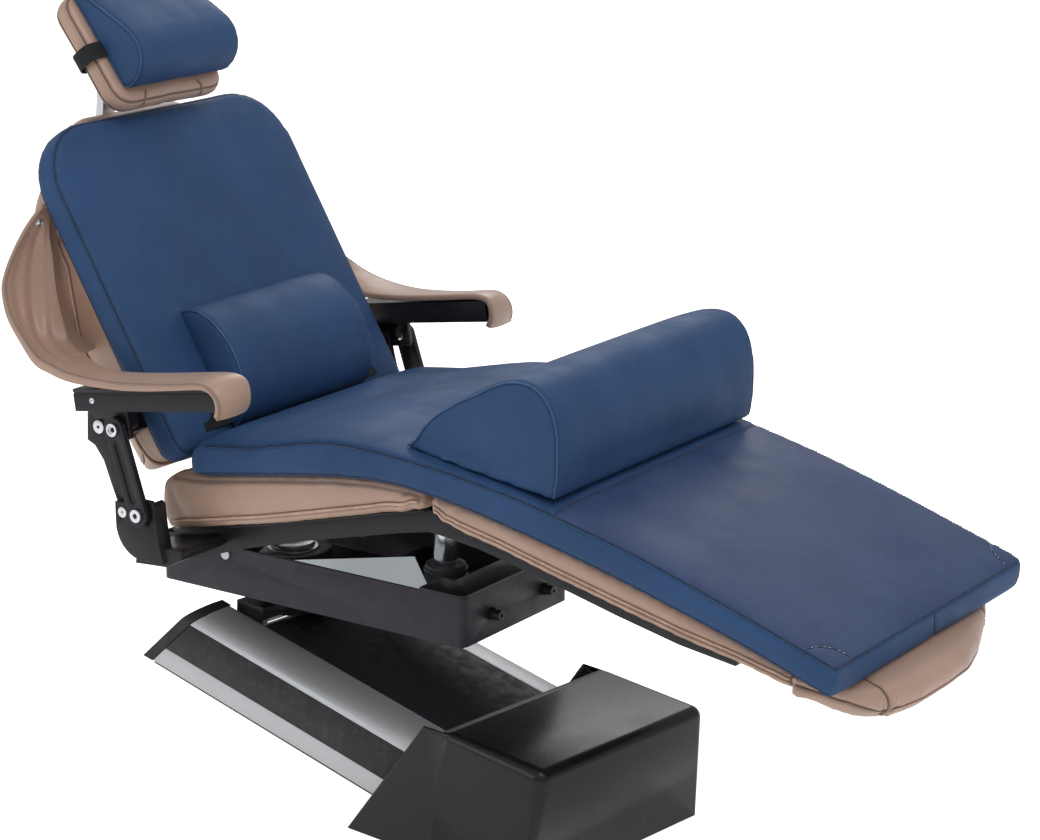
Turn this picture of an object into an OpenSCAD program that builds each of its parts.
// Powered dental chair with a cushion overlay set.
// Origin on the floor at the centre of the floor bolt pattern, +X toward the
// feet, +Y toward the patient's left, +Z up.  All sizes in millimetres.

/* [Base and lift] */
// Height of the lift pivot above the floor
lift_z = 95; // [90:1:105]
// Distance of the lift pivot ahead of the datum line near the swivel
lift_x = 425; // [420:1:432]
// Pitch of the lift arm at rest, in degrees
arm_pitch = 10.5; // [9:0.5:12]
// Centre distance of the lift arm's two pivots
arm_len = 480; // [470:1:490]
// Half width over the lift arm's side rails
arm_half_w = 165; // [160:1:168]
// Thickness of the steel floor plate
plate_t = 12; // [10:1:14]
// Radius of the four floor bolt holes
floor_bolt_r = 6.5; // [5:0.5:8]

/* [Seat] */
// Turn of the chair top on the base at rest, in degrees
swivel_rest = 7.5; // [0:0.5:20]
// Overall width of the overlay seat pad
pad_w = 546; // [520:2:560]
// Overall width of the seat upholstery
seat_w = 530; // [500:2:540]
// Width of the knee wedge
wedge_w = 512; // [480:2:530]

/* [Back] */
// Angle of the back above horizontal at rest, in degrees
back_angle = 59; // [57:1:61]
// Overall width of the overlay back pad
back_w = 544; // [520:2:560]
// Top of the overlay back pad along the back
back_top = 558; // [540:1:570]
// Width of the lumbar roll
lumbar_w = 310; // [280:2:330]

/* [Arms] */
// Pitch of the armrest bars, in degrees
bar_pitch = 8.5; // [6:0.5:10]

/* [Headrest] */
// Width of the headrest upholstery
head_w = 250; // [220:2:270]
// Width of the headrest overlay cushion
head_pad_w = 228; // [200:2:236]

/* [Hidden] */
$fn = 48;

upholstery = "#a08573";
overlay = "#3a5174";
bright_bolt = "#c9ccd2";
through = 800;       // cut width, more than the whole chair
base_x = 435;        // floor bolt centre ahead of the datum line
swivel_x = -40;      // swivel line

// Hinge points, [x, z] ahead of the datum line and above the floor
lift_pivot = [lift_x, lift_z];
upper_pivot = lift_pivot + arm_len * [-cos(arm_pitch), sin(arm_pitch)];
upper_x = upper_pivot[0];
upper_z = upper_pivot[1];
link_offset = [-17, -40];     // level link pivots off the lift pivots
lower_link = lift_pivot + link_offset;
upper_link = upper_pivot + link_offset;
crank_z = 40;                 // crank pin and lift cylinder
crank_pin = [lift_x, crank_z];
back_hinge = [-77, 452];      // back on the hinge bracket
link_hinge = [-40, 456];      // link on the hinge bracket
arm_hinge = [-117, 573];      // armrest on the back bracket
link_bolt = [-80, 577];       // link on the armrest
tilt_hinge = [-60, 337];      // seat on the upper frame

// Radii of pins and bolts
lift_pin_r = 12;
bush_r = 14;
link_pin_r = 8;
crank_pin_r = 8.5;
tilt_pin_r = 8;
back_bolt_r = 7;
link_bolt_r = 8;

// ------------------------------------------------------------- helpers
// an outline in X and Z carried w wide along Y about y
module across(w, y = 0) translate([0, y + w / 2, 0]) rotate([90, 0, 0]) linear_extrude(w) children();
// an outline in Y and Z carried along X from x0 to x1
module along(x0, x1) translate([x0, 0, 0]) rotate([90, 0, 90]) linear_extrude(x1 - x0) children();
// a round bar w long along Y about y, its axis at [x, z]
module pin(axis, r, w, y = 0)
  translate([axis[0], y + w / 2, axis[1]]) rotate([90, 0, 0]) cylinder(r = r, h = w);
// a round bar along X from its start point
module rod(start, r, l) translate(start) rotate([0, 90, 0]) cylinder(r = r, h = l);
// a round bar upward from its foot
module post(foot, r, h) translate(foot) cylinder(r = r, h = h);
module box(corner, size) translate(corner) cube(size);
// a box centred across the chair
module mid_box(x, z, size) box([x, -size[1] / 2, z], size);
// the same thing on both sides
module both() {
  children();
  mirror([0, 1, 0]) children();
}
// outline of a flat bar with round ends, edges 0.2 in from the ends' tangents
module bar_outline(start, end, r) {
  run = end - start;
  translate(start) circle(r);
  translate(end) circle(r);
  translate(start) rotate(atan2(run[1], run[0])) translate([0, 0.2 - r])
    square([norm(run), 2 * r - 0.4]);
}
// a flat bar between two hole centres
module link_bar(start, end, r, w, y = 0) across(w, y) bar_outline(start, end, r);
// a centred rectangle with round corners
module rounded(l, w, r) {
  square([l - 2 * r, w], center = true);
  square([l, w - 2 * r], center = true);
  for (x = [-1, 1], y = [-1, 1]) translate([x * (l / 2 - r), y * (w / 2 - r)]) circle(r);
}
function rev(points) = [for (i = [len(points) - 1:-1:0]) points[i]];
function lower(points, d) = [for (p = points) [p[0], p[1] - d]];
// the points whose x lies between x0 and x1
function between(points, x0, x1) = [for (p = points) if (p[0] > x0 && p[0] < x1) p];
// a half outline followed by its mirror image, in reverse order
function both_halves(half) = concat(half, rev([for (p = half) [-p[0], p[1]]]));

// -------------------------------------------------------------- frames
// everything moved so that the floor bolt centre is the origin
module placed() translate([-base_x, 0, 0]) children();
// the chair top, turned on its base
module chair()
  translate([swivel_x, 0, 0]) rotate([0, 0, swivel_rest]) translate([-swivel_x, 0, 0]) children();
// the back: X out of its face, Z up its length, origin on its hinge
module back()
  chair() translate([back_hinge[0], 0, back_hinge[1]]) rotate([0, back_angle - 90, 0]) children();
// the armrests: X forward along the bar, origin on the hinge
module armrest()
  chair() translate([arm_hinge[0], 0, arm_hinge[1]]) rotate([0, -bar_pitch, 0]) children();
// the lift arm: X toward the feet along the arm, origin on its lower pivot
module lift() translate([lift_x, 0, lift_z]) rotate([0, arm_pitch, 0]) children();
// the headrest: leans back a little further than the back
module head() back() translate([88, 0, 632]) rotate([0, -6, 0]) children();

// ---------------------------------------------------------------- base
floor_bolts = [135, 150];     // hole offsets from the pattern centre
plate_size = [326, 336];

module floor_plate() color("#2b2b2e") difference() {
  union() {
    mid_box(base_x - plate_size[0] / 2, 0, [plate_size[0], plate_size[1], plate_t]);
    // cheeks that carry the lift pivots, inside the arm
    both() across(12, 112) polygon([
      [lift_x - 55, plate_t], [lift_x - 24, lift_z - 20], [lift_x - 20, lift_z + 16],
      [lift_x + 4, lift_z + 22], [lift_x + 34, lift_z + 4], [lift_x + 52, plate_t]]);
  }
  pin(lift_pivot, lift_pin_r, through);
  pin(lower_link, link_pin_r, through);
  for (x = [-1, 1], y = [-1, 1])
    post([base_x + x * floor_bolts[0], y * floor_bolts[1], -1], floor_bolt_r, plate_t + 2);
}

// foot disc and top ball of one corner of the cover's foot-end part
module cover_corner(foot, top, r) {
  translate([foot[0], foot[1], 0]) cylinder(r = 4, h = 1, $fn = 32);
  translate([top[0], top[1], top[2] - r]) sphere(r, $fn = 32);
}
// the cover's outer form, t inside its skin
module cover_solid(t) {
  // foot-end part
  hull() {
    for (s = [-1, 1]) {
      cover_corner([604 - t, s * (184 - t)], [612, s * 160, 180 - t], 18 - t);
      cover_corner([402, s * (182 - t)], [452, s * 162, 191 - t], 14 - t);
    }
  }
  // head-end part
  hull() {
    for (s = [-1, 1]) {
      translate([266 + 2 * t, s * (187 - t), 0]) cylinder(r = 3, h = 1, $fn = 32);
      translate([420, s * (185 - t), 0]) cylinder(r = 3, h = 1, $fn = 32);
      translate([404 + t, s * (170 - t), 184 - t]) sphere(5, $fn = 32);
      translate([452, s * (168 - t), 184 - t]) sphere(5, $fn = 32);
    }
  }
}
module base_cover() color("#17171a") difference() {
  cover_solid(0);
  translate([0, 0, -0.5]) cover_solid(4);
  // the mouth the lift arm works in
  mid_box(200, -1, [238, 342, 300]);
  mid_box(200, -1, [300, 342, 151]);
  // nothing below the floor
  mid_box(200, -10, [500, 400, 10]);
}
module pump_motor() color("#4a4d52") {
  motor_axis = [548, 58];
  pin(motor_axis, 38, 92, -110);
  pin(motor_axis, 30, 14, -57);
  box([516, -146, plate_t], [64, 70, 12]);
}
module fluid_reservoir() color("#d8d4c4") {
  translate([550, 96, plate_t]) linear_extrude(96) rounded(76, 88, 10);
  post([550, 96, plate_t + 95], 14, 16);
}
module lift_cylinder() color("#6d7075") difference() {
  union() {
    rod([lift_x + 72, 0, crank_z], 24, 104);
    for (x = [84, 150]) mid_box(lift_x + x, plate_t, [16, 60, 30]);
  }
  rod([lift_x + 71, 0, crank_z], 18, 96);
}
module lower_pivot_pins() color("silver") {
  pin(lift_pivot, lift_pin_r, 286);
  both() pin(lower_link, link_pin_r, 40, 106);
}

// ------------------------------------------------------------ lift rod
crank_w = 12;

module lift_rod() color("silver") difference() {
  union() {
    rod([lift_x + 28, 0, crank_z], 17.95, 122);
    mid_box(lift_x - 18, crank_z - 18, [52, 30, 46]);
  }
  // upright slot the crank pin works in
  mid_box(lift_x - crank_pin_r - 2, crank_z - 11, [2 * crank_pin_r + 4, 32, 32]);
  // gap the crank works in
  mid_box(lift_x - 19, crank_z - 20, [47, crank_w + 1.6, 60]);
}

// ------------------------------------------------------------ lift arm
arm_bot = -69;                // underside, below the pivot line
arm_top = 52;                 // top, above the pivot line
arm_head = -arm_len - 156;    // head end at the underside
shoulder_y = 104;             // inner edge of the rounded shoulder
shoulder_z = 27;              // where the shoulder starts to round
stripe_z = arm_bot + 35;      // recess in the side rail for the stripe
stripe_h = 61;
stripe_depth = 2.5;
stripe_gap = 0.2;

// rounded outer shoulder of the arm, [y, z]
shoulder = [for (i = [0:14]) let (a = 90 * i / 14)
  [shoulder_y + (arm_half_w - shoulder_y) * cos(a),
   shoulder_z + (arm_top - shoulder_z) * sin(a)]];

module rail_section() difference() {
  polygon(concat(
    [[arm_half_w - 8, arm_bot + 3], [arm_half_w, arm_bot + 3]],
    shoulder,
    [[shoulder_y, arm_top - 5], [arm_half_w - 34, arm_top - 8], [arm_half_w - 8, 20]]));
  translate([arm_half_w - stripe_depth, stripe_z]) square([5, stripe_h]);
}
// everything from the sloped joint, d toward the feet, out to the given reach
// from the head end: negative takes the head side, positive the foot side
module slope_cut(d, reach) across(through) polygon([
  [arm_head + d + 1, arm_bot - 5], [arm_head + d + 104, arm_top + 6],
  [arm_head + reach, arm_top + 6], [arm_head + reach, arm_bot - 5]]);

module arm_side_rails() color("#a9acac") lift() both() difference() {
  along(arm_head, 30) rail_section();
  slope_cut(22, -200);
  // foot end is trimmed round the pivot
  across(through) polygon([[8, arm_bot - 2], [32, arm_bot - 2], [32, arm_top + 2],
    [18, arm_top + 2], [26, 10]]);
}
module arm_side_stripes() color("#1f1f21") lift() both() difference() {
  stripe_t = stripe_depth - stripe_gap;
  along(arm_head, 20) translate([arm_half_w - stripe_t, stripe_z + stripe_gap])
    square([stripe_t, stripe_h - 2 * stripe_gap]);
  slope_cut(22.3, -200);
}
module arm_top_cover() color("#1c1c20") lift() difference() {
  along(-arm_len + 42, 4) polygon(both_halves(
    [[103.5, arm_top - 6], [103.5, arm_top - 1], [100, arm_top]]));
  // notch round the platform yoke
  mid_box(-arm_len, 40, [84, 128, 20]);
}
// top deck layers: [start ahead of the upper pivot, half width, z, height]
deck_layers = [[60, 133, 30, 9], [60, 128, 38, 5.5], [86, 100, 43, 2.9]];

module arm_casting() color("#3a3b3e") difference() {
  union() {
    lift() {
      // side webs
      both() across(9, 136) polygon([[arm_head + 50, arm_bot + 8], [10, arm_bot + 8], [24, -10],
        [22, 18], [14, 34], [arm_head + 150, 34], [arm_head + 138, 20]]);
      // cross tubes
      for (x = [-330, -160]) pin([x, 16], 13, 264);
      // top deck under the cover
      for (d = deck_layers)
        mid_box(d[0] - arm_len, d[2], [arm_len - 2 - d[0], 2 * d[1], d[3]]);
      // black edge under the side rails
      both() box([arm_head + 32, 141, arm_bot], [-arm_head - 42, 23, 2.6]);
      both() box([arm_head + 62, 139, arm_bot], [-arm_head - 72, 7, 12]);
      // rail fixing blocks
      both() for (x = [-arm_len - 20, -280, -60]) box([x, 140, -30], [40, 16.8, 40]);
      // arms from the torque tube
      both() link_bar([0, 0], [-110, 30], 14, 10, 76);
    }
    // crank with its pin
    link_bar(lift_pivot, crank_pin, 12, crank_w);
    pin(crank_pin, crank_pin_r, 24);
    // torque tube
    pin(lift_pivot, 20, 180);
  }
  pin(lift_pivot, bush_r, through);
  pin(upper_pivot, lift_pin_r, through);
}
module arm_end_cap() color("#141416") lift() difference() {
  along(arm_head - 6, arm_head + 140) polygon(both_halves(concat(
    [[arm_half_w - 6, arm_bot - 1], [arm_half_w, arm_bot + 2]], shoulder)));
  slope_cut(0, -200);
  // mouth the platform yoke works in
  mid_box(arm_head - 20, -25, [400, 200, 120]);
  // everything foot-side of the slope belongs to the arm
  slope_cut(20.7, 300);
}
module arm_bushes() color("#b08d4a") difference() {
  union() {
    both() pin(lift_pivot, bush_r, 9, 136);
    both() pin(lift_pivot, bush_r, 30, 60);
  }
  pin(lift_pivot, lift_pin_r + 0.04, through);
}
module upper_pivot_pins() color("silver") pin(upper_pivot, lift_pin_r, 281);
module level_links() color("#2e2f33") both() difference() {
  link_bar(lower_link, upper_link, 13, 8, 100);
  for (p = [lower_link, upper_link]) pin(p, link_pin_r + 0.05, through);
}

// ------------------------------------------------------------ platform
frame_bottom = 276;
frame_top = 350;
frame_head = -187;            // head end
frame_foot = 378;             // foot end
frame_half_w = 134;
frame_wall = 4;
flange_top = frame_bottom - 0.5;
spindle_r = 22;

module platform_yoke() color("#26272a") {
  difference() {
    union() {
      // cheeks
      both() across(12, 84) polygon([
        upper_link + [-14, 0], upper_link + [-8, -12], upper_link + [8, -12],
        upper_link + [18, 4], upper_pivot + [24, 0], upper_pivot + [34, 58],
        upper_pivot + [-24, 58]]);
      // long boss on the pivot
      pin(upper_pivot, 20, 190);
      // head block
      mid_box(upper_x - 24, upper_z + 44, [58, 180, 20]);
      post([swivel_x, 0, upper_z + 40], 52, 28);
      // spindle flange
      post([swivel_x, 0, upper_z + 60], 52, flange_top - upper_z - 60);
      post([swivel_x, 0, flange_top - 14], 78, 14);
    }
    pin(upper_pivot, lift_pin_r + 0.05, through);
    post([swivel_x, 0, upper_z + 39], spindle_r, 100);
    pin(upper_link, link_pin_r, through);
  }
  both() pin(upper_link, link_pin_r, 36, 95);
}
module swivel_post() color("silver") difference() {
  union() {
    post([swivel_x, 0, upper_z + 40], spindle_r, frame_bottom + 5 - upper_z);
    post([swivel_x, 0, frame_bottom + 45], 34, 6.5);
  }
  post([swivel_x, 0, upper_z + 39], 12, 130);
}

// --------------------------------------------------------- upper frame
frame_bolt_y = 67;
frame_bolt_z = 311;
frame_bolt_r = 5;
brake_x = -137;
brake_y = frame_half_w - 16;
brake_post_r = 4;
jack_x = 250;

// plan of the frame, brought in all round by inset
module frame_plan(inset = 0) translate([(frame_head + frame_foot) / 2, 0])
  rounded(frame_foot - frame_head - 2 * inset, 2 * (frame_half_w - inset), 12 - inset);

module upper_frame() color("#2f2d33") chair() difference() {
  frame_h = frame_top - frame_bottom;
  union() {
    // open-topped trough
    difference() {
      translate([0, 0, frame_bottom]) linear_extrude(frame_h) frame_plan();
      translate([0, 0, frame_bottom + 5]) linear_extrude(frame_h) frame_plan(frame_wall);
    }
    post([swivel_x, 0, frame_bottom + 4], 60, 38);
    // post the brake lever turns on
    post([brake_x, brake_y, frame_bottom + 4], brake_post_r, 28);
    // stiffening bars across the frame
    for (x = [120, -160]) mid_box(x, frame_bottom + 4, [8, 2 * frame_half_w - 4, 34]);
  }
  // bearing seat and spindle hole
  post([swivel_x, 0, frame_bottom - 1], 40, 50);
  pin(tilt_hinge, tilt_pin_r, through);
  for (s = [-1, 1]) rod([frame_foot - 10, s * frame_bolt_y, frame_bolt_z], frame_bolt_r, 20);
  // slot for the brake lever
  box([-168, frame_half_w - 5, frame_bottom + 12], [62, 10, 22]);
}
// lid over the foot end of the frame
module frame_top_plate() color("#26252b") chair() difference() {
  translate([0, 0, frame_top + 0.2]) linear_extrude(4) intersection() {
    frame_plan();
    translate([300, -200]) square([200, 400]);
  }
  mid_box(290, frame_top - 1, [34, 160, 8]);
}
module frame_end_bolts() color("#1a1a1c") chair() for (s = [-1, 1])
  translate([frame_foot - 9, s * frame_bolt_y, frame_bolt_z]) rotate([0, 90, 0]) difference() {
    union() {
      cylinder(r = frame_bolt_r, h = 14);
      post([0, 0, 9.1], 9, 9);
      post([0, 0, 18.1], 7.5, 10);
    }
    // hex socket
    translate([0, 0, 23]) cylinder(r = 3.2, h = 6, $fn = 6);
  }
module frame_tray() color("#c4caca") chair() {
  translate([0, 0, 333]) linear_extrude(2)
    polygon([[34, -128], [34, -98], [176, 22], [300, -104], [300, -128]]);
  for (x = [60, 250]) box([x, -129.8, frame_bottom + 5], [16, 2, 53]);
}
module swivel_bearing() color("#8d9094") chair() difference() {
  post([swivel_x, 0, frame_bottom], 39.9, 44);
  post([swivel_x, 0, frame_bottom - 2], spindle_r + 0.05, 60);
}
module tilt_jack_body() color("#3f4146") chair() difference() {
  union() {
    post([jack_x, 0, frame_bottom + 5], 30, 64);
    for (i = [0:4]) post([jack_x, 0, frame_bottom + 14 + i * 11], 33, 5);
  }
  post([jack_x, 0, frame_bottom + 8], 18, 80);
}
module tilt_pin() color("silver") chair() pin(tilt_hinge, tilt_pin_r, 2 * frame_half_w + 6);
module brake_lever() color("#1d1d1f") chair() difference() {
  union() {
    post([brake_x, brake_y, frame_bottom + 16], 10, 12);
    box([brake_x - 5, brake_y + 4, frame_bottom + 19], [10, 62, 6]);
    translate([brake_x, brake_y + 66, frame_bottom + 22]) sphere(13);
  }
  post([brake_x, brake_y, frame_bottom + 10], brake_post_r + 0.05, 24);
}
module tilt_jack_ram() color("silver") chair() {
  post([jack_x, 0, 338], 17.95, 94);
  post([jack_x, 0, 432], 12, 9.5);
}

// --------------------------------------------------------------- seat
// Side outlines, [x, z].  Undersides of the seat and leg cushions:
seat_line = [[-62, 407], [0, 420], [112, 445], [239, 477], [327, 500], [394, 516]];
leg_line = [[408, 516], [462, 498], [528, 484], [626, 460], [721, 438], [813, 417], [904, 400]];
leg_end = 980;
// underside of the overlay pad, head to foot
pad_under = [[-8, 499], [122, 521], [248, 541], [318, 547], [369, 547], [436, 540], [503, 529],
  [568, 516], [632, 502], [695, 487], [757, 471], [819, 454], [879, 437], [939, 419], [1045, 382]];
// top of the overlay pad, foot to head
pad_over = [[1052, 430], [1025, 439], [937, 468], [848, 497], [757, 524], [695, 540], [627, 556],
  [568, 569], [503, 579], [437, 588], [369, 594], [301, 598], [249, 597], [196, 588],
  [105, 566], [-8, 552]];
pad_gap = 0.8;
// side rail: top edge head to foot, then bottom edge back
rail_outline = [[-70, 401.5], [0, 417], [112, 441.5], [239, 473.5], [327, 496.5], [394, 512.5],
  [402, 512.5], [462, 494.5], [528, 480.5], [626, 456.5], [721, 434.5], [813, 413.5],
  [890, 399.5], [885, 388], [798, 400], [705, 420], [609, 443], [544, 458], [478, 472],
  [410, 480], [394, 481], [342, 470], [164, 425], [52, 392], [-20, 366], [-72, 352]];
// cross members, [x, z, length, height]; the last is the beam the tilt jack pushes on
cross_members = [[8, 384, 24, 16], [380, 484, 24, 16], [844, 388, 24, 12], [232, 446, 36, 16]];

module seat_rails() color("#1b1b1d") chair() difference() {
  union() {
    both() across(16, 230) polygon(rail_outline);
    for (m = cross_members) across(444) translate([m[0], m[1]]) square([m[2], m[3]]);
    // tilt lugs inside the upper frame
    both() across(12, 116) polygon([[-76, 322], [-70, 318], [-48, 318], [-36, 324], [30, 384],
      [32, 398], [4, 398], [-76, 350]]);
  }
  pin(tilt_hinge, tilt_pin_r + 0.05, through);
}
module hinge_brackets() color("#232326") chair() both() difference() {
  union() {
    // J plate, its lower corner rounded
    across(8, 335) polygon(concat(
      [[-92, 466], [-92, 440]],
      [for (i = [1:9]) let (a = 180 + 10 * i) [-42 + 50 * cos(a), 434 + 50 * sin(a)]],
      [[-4, 386], [-10, 412], [-15, 440], [-18, 470], [-24, 476], [-56, 476], [-58, 469],
       [-66, 467]]));
    // turned edge
    across(26, 326) polygon([[-20, 386], [-4, 386], [-10, 412], [-15, 440], [-18, 470],
      [-24, 474], [-21, 440], [-16, 412]]);
    // arm in to the seat rail
    across(94, 285.2) polygon([[-62, 376], [-4, 380], [26, 396], [24, 410], [2, 408],
      [-20, 402], [-58, 397]]);
  }
  pin(back_hinge, back_bolt_r, through);
  pin(link_hinge, link_bolt_r, through);
}
module hinge_bolts() color(bright_bolt) chair() both() {
  pin(back_hinge, back_bolt_r, 21, 328.5);
  pin(back_hinge, 7.8, 1.9, 340);
  pin(link_hinge, link_bolt_r, 22, 342);
  difference() {
    pin(link_hinge, 9.6, 3.6, 353.2);
    pin(link_hinge, 4, 4, 354);
  }
}
// a thin sheet that follows just under a line
module pan(line, w) across(w) polygon(concat(lower(line, 0.3), rev(lower(line, 3))));
module seat_pan() color("#202024") chair() pan(seat_line, 500);
module leg_pan() color("#202024") chair() pan(concat(leg_line, [[leg_end, 382.58]]), 480);
module seat_cushion() color(upholstery) chair() across(seat_w) polygon(concat(
  seat_line, [[399, 538]],
  rev(lower(between(pad_under, -100, 400), pad_gap)),
  [[-42, 494], [-64, 484], [-74, 460], [-70, 420]]));
module leg_cushion() color(upholstery) chair() across(seat_w) polygon(concat(
  leg_line, [[leg_end, 382.6], [leg_end, 403.6]],
  rev(lower(between(pad_under, 440, 950), pad_gap)),
  [[410, 542.5]]));

// toe cap seen from the side, [x, z], and from above, [x, y]
toe_side = [[981, 402.8], [1034, 383.6], [1048, 380], [1078, 377], [1094, 367], [1095, 350],
  [1086, 338], [1066, 335], [1040, 345], [1002, 366], [981, 375]];
toe_plan = [[900, -262], [984, -262], [1030, -236], [1062, -205], [1082, -170], [1094, -120],
  [1096, -40], [1092, 24], [1074, 92], [1044, 172], [1014, 225], [984, 258], [900, 262]];
module toe_cap() color(upholstery) chair() intersection() {
  across(560) polygon(toe_side);
  translate([0, 0, 250]) linear_extrude(200) polygon(toe_plan);
}
module overlay_seat_pad() color(overlay) chair() across(pad_w) polygon(concat(pad_under, pad_over));

// height of the wedge's underside, just clear of the overlay pad
function wedge_z(x) = lookup(x, rev(pad_over)) + pad_gap;
module knee_wedge() color(overlay) chair() across(wedge_w) polygon(concat(
  [[352, wedge_z(352) + 0.5], [407, 652], [472, 690], [521, 717], [556, 724], [585, 718],
   [608, 698], [618, 668], [621, 624], [614, wedge_z(614)]],
  [for (x = [592:-40:392]) [x, wedge_z(x) + 0.4]]));

// --------------------------------------------------------------- back
// a point of the chair seen from the back's own frame
function in_back(p) = let (d = p - back_hinge)
  [d[0] * sin(back_angle) + d[1] * cos(back_angle),
   d[1] * sin(back_angle) - d[0] * cos(back_angle)];
// half outline of the back, [y, z], narrower toward its top, brought in by d
function back_half(d) = [[208, 44 + d], [229 - d, 52 + d], [238 - d, 76], [238 - d, 400],
  [225 - d, 440], [190 - 0.9 * d, 490 - 0.5 * d], [140 - 0.7 * d, 535 - 0.7 * d],
  [128 - d, 552 - d], [123 - d, 568 - d], [106 - d, 582 - d]];
// a slab of that outline from x0 to x1, kept between z0 and z1
module back_slab(x0, x1, d, z0, z1 = 700) along(x0, x1) intersection() {
  polygon(both_halves(back_half(d)));
  translate([-300, z0]) square([600, z1 - z0]);
}

module back_plate() color("#2a2b2e") back() difference() {
  hinge = in_back(arm_hinge);
  union() {
    back_slab(-8, -2, 13, 60, 516);
    // beam across to the side brackets
    mid_box(-34, 102, [26.5, 596, 38]);
    // upright ribs
    both() box([-40, 200, 64], [32, 8, 366]);
    // arms and bosses at the armrest hinges
    both() box([-34, 246, 102], [hinge[0] + 34, 52, 38]);
    both() pin(hinge, 20, 44.8, 298.4);
  }
  // way through for the headrest channel
  mid_box(-20, 300, [30, 76, 260]);
}
module back_side_brackets() color("#1d1d20") chair() difference() {
  both() across(8, 325) union() {
    polygon([[-148, 588], [-150, 546], [-136, 540], [-120, 520], [-108, 490], [-92, 452],
      [-62, 452], [-76, 500], [-88, 545], [-97, 584], [-104, 590]]);
    translate(back_hinge) circle(15);
  }
  pin(back_hinge, back_bolt_r + 0.05, through);
  pin(arm_hinge, 9.06, through);
}
module back_cushion() color(upholstery) back() back_slab(-1.5, 42, 0, 0);
module back_rear_cover() color("#9a7f6c") back() difference() {
  back_slab(-62, -2.3, 0.5, 48);
  back_slab(-57, 0, 5.5, 53);
  // ways through for the glide bar and the beam
  mid_box(-25, 520, [18, 68, 80]);
  mid_box(-36, 100, [40, 600, 42]);
}
// outline in Y and Z with large round top corners and small bottom ones
module pad_outline(half_w, bottom, top, top_r, bottom_r) {
  translate([-half_w, bottom + bottom_r]) square([2 * half_w, top - bottom - top_r - bottom_r]);
  translate([-half_w + top_r, bottom]) square([2 * (half_w - top_r), top - bottom]);
  for (s = [-1, 1]) {
    translate([s * (half_w - top_r), top - top_r]) circle(top_r);
    translate([s * (half_w - bottom_r), bottom + bottom_r]) circle(bottom_r);
  }
  translate([-half_w + bottom_r, bottom]) square([2 * (half_w - bottom_r), bottom_r]);
}
module overlay_back_pad() color(overlay) back() along(43, 87.5)
  pad_outline(half_w = back_w / 2, bottom = 34, top = back_top, top_r = 104, bottom_r = 16);
module lumbar_roll() color("#34496b") back() across(lumbar_w) polygon(concat(
  [[88.3, 52], [88.3, 240], [100, 240]],
  [for (i = [0:12]) let (a = 80 - 160 * i / 12)
    [98 + 58 * cos(a), 144 + 92 * sin(a) * (a > 0 ? 1 : 0.98)]],
  [[100, 50]]));
module headrest_channel() color("#55585d") back() difference() {
  mid_box(-30, 305, [26, 74, 215]);
  mid_box(-23.1, 300, [14.2, 64.2, 260]);
}
// sling wing from the side of the back out toward the arm
module wing() hull() {
  box([-56, 243, 262], [40, 4, 178]);
  box([-50, 290, 262], [34, 4, 160]);
  box([-30, 328, 266], [40, 6, 110]);
}
module sling_left() color(upholstery) back() wing();
module sling_right() color(upholstery) back() mirror([0, 1, 0]) wing();

// --------------------------------------------------------------- arms
// The left armrest; the right one is its mirror image.
bar_bolt = [37.4, -1.52];     // link bolt in the armrest's own frame
bar_bolt_r = 7;

module arm_bar() {
  translate([-30, 299, 25]) difference() {
    cube([268, 52, 33]);
    // lip line along the outer face
    box([-1, 50.6, 25.5], [270, 2, 2.5]);
    box([-1, 4, 4], [270, 44, 25]);
  }
  // hinge tab under the bar
  difference() {
    box([-18, 330.2, -18], [74, 8.6, 43]);
    pin([0, 0], 9.05, through);
    pin(bar_bolt, bar_bolt_r, through);
  }
  box([-18, 322, 25], [74, 20, 0.4]);
}
module arm_cover() across(64, 324) polygon([[0, 58.6], [0, 72], [40, 76], [150, 77], [236, 75],
  [250, 68], [258, 52], [257, 30], [251, 20], [239, 19], [238.6, 58.6]]);
module arm_bolts() {
  // hinge disc
  pin([0, 0], 9, 18, 330.2);
  pin([0, 0], 9.8, 1.9, 340.05);
  // link bolt with a blind hole in its outer end
  difference() {
    pin(bar_bolt, bar_bolt_r, 22, 341.3);
    pin(bar_bolt, 4, 4, 351.3);
  }
  // ring round the bolt
  difference() {
    pin(bar_bolt, 9.6, 3.6, 353);
    pin(bar_bolt, bar_bolt_r + 0.05, 6, 353.2);
  }
}
module arm_bar_left() color("#1a1a1e") armrest() arm_bar();
module arm_cover_left() color(upholstery) armrest() arm_cover();
module arm_bolts_left() color(bright_bolt) armrest() arm_bolts();
module arm_bar_right() color("#1a1a1e") armrest() mirror([0, 1, 0]) arm_bar();
module arm_cover_right() color(upholstery) armrest() mirror([0, 1, 0]) arm_cover();
module arm_bolts_right() color(bright_bolt) armrest() mirror([0, 1, 0]) arm_bolts();

module grooved_link() difference() {
  link_bar(link_hinge, link_bolt, 17, 9, 345.7);
  pin(link_hinge, link_bolt_r + 0.05, through);
  pin(link_bolt, 7.6, through);
  // groove along its outer face
  link_bar(link_hinge + [-7, 22], link_bolt + [7, -22], 6, 4, 350.2);
}
module link_left() color("#26262a") chair() grooved_link();
module link_right() color("#26262a") chair() mirror([0, 1, 0]) grooved_link();

// ----------------------------------------------------------- headrest
// Points seen from the back's frame, [x, z]
knuckle_low = [22, 640];
knuckle_high = [62, 655];
lever_axis = [73, 633];
knuckle_pin_r = 7;
lever_pin_r = 3;

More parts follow.
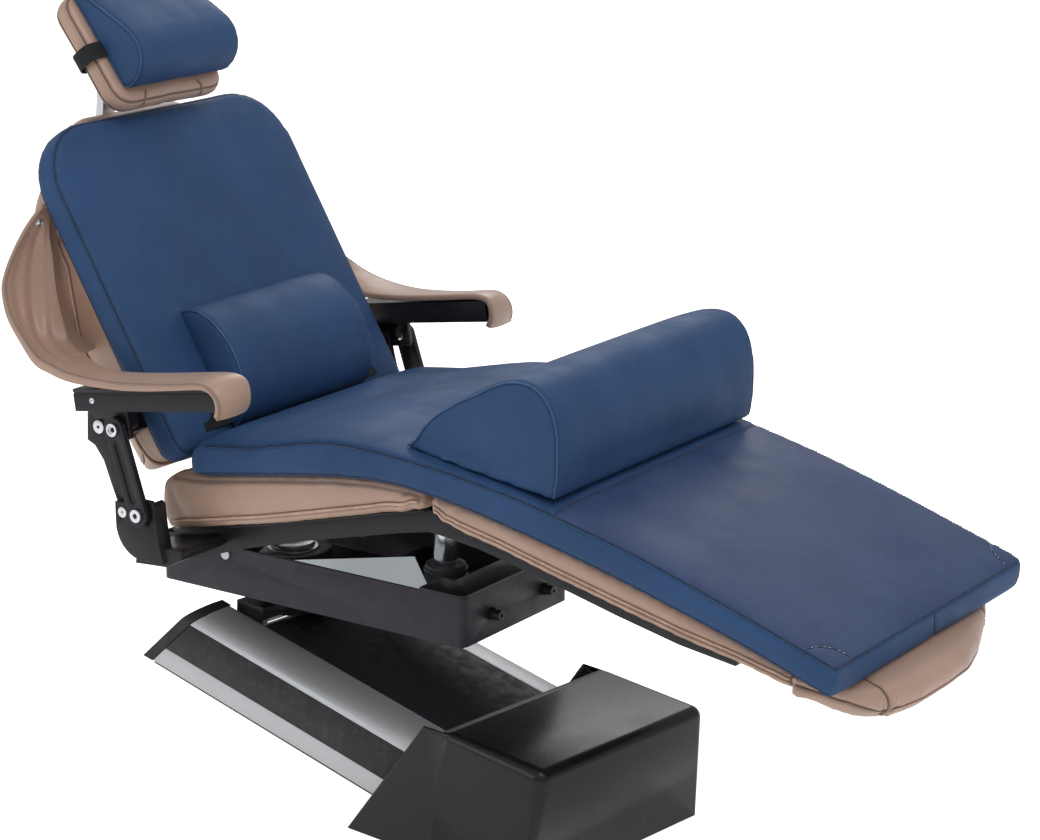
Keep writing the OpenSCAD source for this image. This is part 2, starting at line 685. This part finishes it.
module headrest_glide_bar() color("#c4c7cc") back() difference() {
  union() {
    mid_box(-23, 315, [14, 64, 268]);
    link_bar([-16, 590], knuckle_low, 7, 28);
    mid_box(-23, 580, [14, 28, 10]);
    pin(knuckle_low, 15, 28);
  }
  pin(knuckle_low, knuckle_pin_r + 0.05, through);
}
module headrest_knuckle() color("#b9bcc1") back() {
  both() link_bar(knuckle_low, knuckle_high, 13, 7, 18.2);
  for (p = [knuckle_low, knuckle_high]) pin(p, knuckle_pin_r, 50);
}
module headrest_bracket() color("#2c2d30") difference() {
  z = knuckle_high[1];
  union() {
    head() mid_box(-7, -42, [6.4, 140, 110]);
    back() pin(knuckle_high, 13, 28);
    back() across(28) polygon([knuckle_high - [0, 13], [66, z - 30], [85, z - 34], [81, z + 20],
      knuckle_high + [0, 13]]);
  }
  back() pin(knuckle_high, knuckle_pin_r + 0.05, through);
  back() pin(lever_axis, lever_pin_r + 0.05, through);
}
module headrest_cushion() color(upholstery) head() along(0, 38) translate([0, 14])
  rounded(head_w, 196, 34);
module overlay_head_cushion() color("#33496b") head() translate([0, 8, 0]) across(head_pad_w)
  polygon([[38.8, -60], [52, -64], [72, -61], [88, -53], [100, -40], [107, -20], [105, 0],
    [95, 26], [82, 54], [68, 82], [56, 104], [46, 114], [38.8, 116]]);
module headrest_strap() color("#141415") head() both()
  box([-2, head_w / 2 + 0.4, -4], [42, 2, 28]);
module headrest_lever() color("#1d1d1f") back() {
  pin(lever_axis, lever_pin_r, 44, 8);
  difference() {
    pin(lever_axis, 7, 8, 26);
    pin(lever_axis, lever_pin_r - 0.1, through);
  }
  // stem and grip
  box([69.5, 22, lever_axis[1] - 62], [7, 8, 57]);
  box([66, 19, lever_axis[1] - 68], [12, 14, 22]);
}

placed() floor_plate();
placed() base_cover();
placed() pump_motor();
placed() fluid_reservoir();
placed() lift_cylinder();
placed() lower_pivot_pins();
placed() lift_rod();
placed() arm_casting();
placed() arm_side_rails();
placed() arm_side_stripes();
placed() arm_top_cover();
placed() arm_end_cap();
placed() arm_bushes();
placed() upper_pivot_pins();
placed() level_links();
placed() platform_yoke();
placed() swivel_post();
placed() upper_frame();
placed() frame_top_plate();
placed() frame_end_bolts();
placed() frame_tray();
placed() swivel_bearing();
placed() tilt_jack_body();
placed() tilt_pin();
placed() brake_lever();
placed() tilt_jack_ram();
placed() seat_rails();
placed() hinge_brackets();
placed() hinge_bolts();
placed() seat_pan();
placed() leg_pan();
placed() seat_cushion();
placed() leg_cushion();
placed() toe_cap();
placed() overlay_seat_pad();
placed() knee_wedge();
placed() back_plate();
placed() back_side_brackets();
placed() back_cushion();
placed() back_rear_cover();
placed() overlay_back_pad();
placed() lumbar_roll();
placed() headrest_channel();
placed() sling_left();
placed() sling_right();
placed() arm_bar_left();
placed() arm_cover_left();
placed() arm_bolts_left();
placed() arm_bar_right();
placed() arm_cover_right();
placed() arm_bolts_right();
placed() link_left();
placed() link_right();
placed() headrest_glide_bar();
placed() headrest_knuckle();
placed() headrest_bracket();
placed() headrest_cushion();
placed() overlay_head_cushion();
placed() headrest_strap();
placed() headrest_lever();
